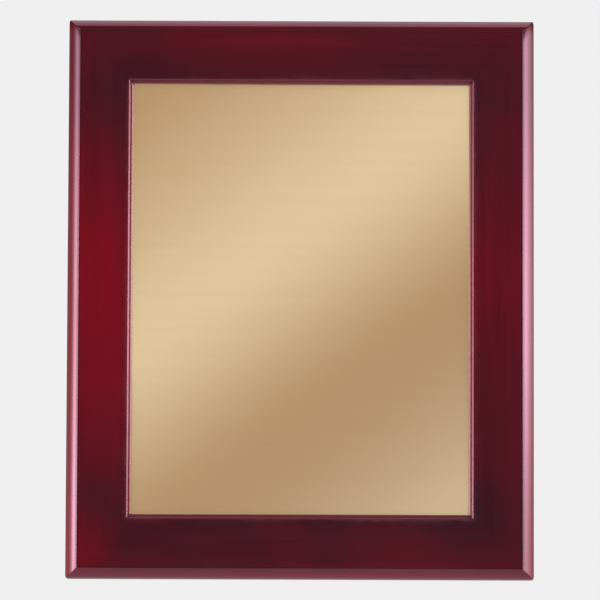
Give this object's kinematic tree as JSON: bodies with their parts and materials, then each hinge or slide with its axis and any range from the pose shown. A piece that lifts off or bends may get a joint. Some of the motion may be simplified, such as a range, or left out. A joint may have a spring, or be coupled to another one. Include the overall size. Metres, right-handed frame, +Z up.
{
  "type": "wall plaque",
  "caption": "Upright wall plaque: a lacquered mitred frame holds a blank satin brass plate, loaded from the back under turn buttons and hung on recessed keyhole hangers.",
  "frame": {"origin": "midway between the centres of the two keyholes' round entries, on the back face of the frame", "axes": "+Z up, +Y towards the wall, so the front of the plaque faces -Y; +X is to the right as seen from the front"},
  "size_m": [0.254, 0.0226, 0.3048],
  "materials": {
    "frame_lacquer": "dark red stain under a high-gloss polished lacquer",
    "satin_brass": "satin, fine straight brushing, clear coated",
    "tape_film": "thin double-sided tape",
    "fibreboard": "raw medium-density fibreboard",
    "corrugated_card": "plain brown card",
    "black_flock": "short black flock on paper",
    "nickel_steel": "nickel plated, lightly tumbled",
    "zinc_steel": "bright zinc plated",
    "black_rubber": "matte black"
  },
  "bodies": {
    "plaque": {"frame_top_rail": "frame_lacquer", "frame_bottom_rail": "frame_lacquer", "frame_left_stile": "frame_lacquer", "frame_right_stile": "frame_lacquer", "plate_tape_top": "tape_film", "plate_tape_bottom": "tape_film", "plate_tape_left": "tape_film", "plate_tape_right": "tape_film", "corner_v_nails": "zinc_steel", "engraving_plate": "satin_brass", "mount_board": "fibreboard", "filler_board": "corrugated_card", "back_panel": "fibreboard", "flock_cover": "black_flock", "turn_button_screws": "nickel_steel", "keyhole_hanger_left": "zinc_steel", "keyhole_hanger_right": "zinc_steel", "hanger_screws": "zinc_steel", "bumper_top_left": "black_rubber", "bumper_bottom_left": "black_rubber", "bumper_top_right": "black_rubber", "bumper_bottom_right": "black_rubber"},
    "turn_button_top": {"turn_button_top": "nickel_steel"},
    "turn_button_bottom": {"turn_button_bottom": "nickel_steel"},
    "turn_button_left_upper": {"turn_button_left_upper": "nickel_steel"},
    "turn_button_left_lower": {"turn_button_left_lower": "nickel_steel"},
    "turn_button_right_upper": {"turn_button_right_upper": "nickel_steel"},
    "turn_button_right_lower": {"turn_button_right_lower": "nickel_steel"}
  },
  "joints": [
    {"name": "turn_button_top_swivel", "type": "hinge", "parent": "plaque", "child": "turn_button_top", "pos_m": [0, 0.0007, -0.0045], "axis": [0, 1, 0], "continuous": true},
    {"name": "turn_button_bottom_swivel", "type": "hinge", "parent": "plaque", "child": "turn_button_bottom", "pos_m": [0, 0.0007, -0.2683], "axis": [0, 1, 0], "continuous": true},
    {"name": "turn_button_left_upper_swivel", "type": "hinge", "parent": "plaque", "child": "turn_button_left_upper", "pos_m": [-0.1065, 0.0007, -0.0714], "axis": [0, 1, 0], "continuous": true},
    {"name": "turn_button_left_lower_swivel", "type": "hinge", "parent": "plaque", "child": "turn_button_left_lower", "pos_m": [-0.1065, 0.0007, -0.2014], "axis": [0, 1, 0], "continuous": true},
    {"name": "turn_button_right_upper_swivel", "type": "hinge", "parent": "plaque", "child": "turn_button_right_upper", "pos_m": [0.1065, 0.0007, -0.0714], "axis": [0, 1, 0], "continuous": true},
    {"name": "turn_button_right_lower_swivel", "type": "hinge", "parent": "plaque", "child": "turn_button_right_lower", "pos_m": [0.1065, 0.0007, -0.2014], "axis": [0, 1, 0], "continuous": true}
  ]
}
